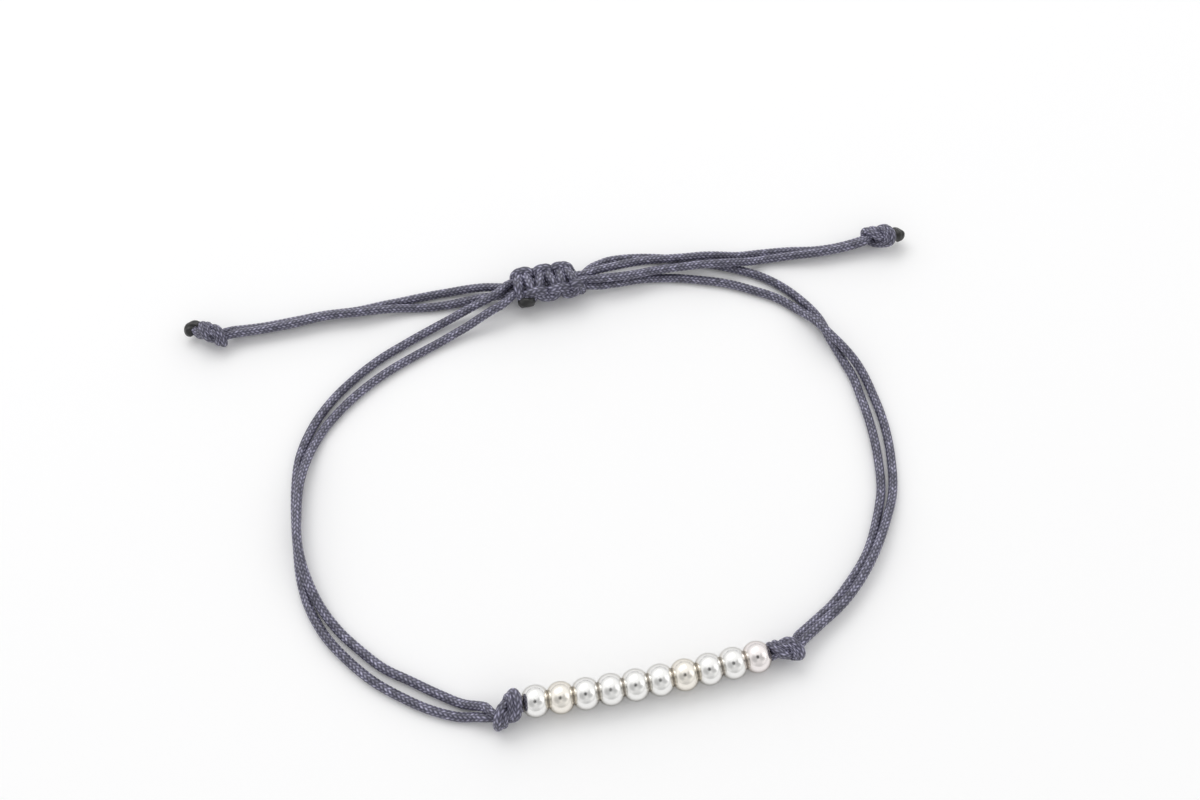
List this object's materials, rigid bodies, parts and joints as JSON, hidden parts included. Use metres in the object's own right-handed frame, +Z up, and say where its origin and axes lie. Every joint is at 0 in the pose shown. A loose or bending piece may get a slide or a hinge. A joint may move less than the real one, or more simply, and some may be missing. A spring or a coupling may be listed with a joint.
{
  "type": "macrame bracelet",
  "caption": "Adjustable macrame bracelet of doubled braided cord with a row of round silver beads, a sliding square-knot closure and knotted tails.",
  "frame": {"origin": "middle of the bracelet's plan box, on the plane that it lies on", "axes": "+Z up, the bead row to -Y, the sliding closure to +Y, the tails along X"},
  "size_m": [0.0793, 0.0502, 0.0033],
  "materials": {
    "cord": "waxed braid",
    "silver": "polished silver",
    "melted_cord": "melted and glossy"
  },
  "bodies": {
    "root": {"bead_1": "silver", "bead_2": "silver", "bead_3": "silver", "bead_4": "silver", "bead_5": "silver", "bead_6": "silver", "bead_7": "silver", "bead_8": "silver", "bead_9": "silver", "bead_10": "silver", "bead_cord_front": "cord", "bead_cord_back": "cord", "left_bead_knot": "cord", "right_bead_knot": "cord", "left_loop_outer_strand": "cord", "left_loop_inner_strand": "cord", "right_loop_outer_strand": "cord", "right_loop_inner_strand": "cord", "sliding_knot": "cord", "left_tail_knot": "cord", "right_tail_knot": "cord", "sliding_knot_melted_end": "melted_cord", "left_melted_tip": "melted_cord", "right_melted_tip": "melted_cord"}
  },
  "joints": []
}
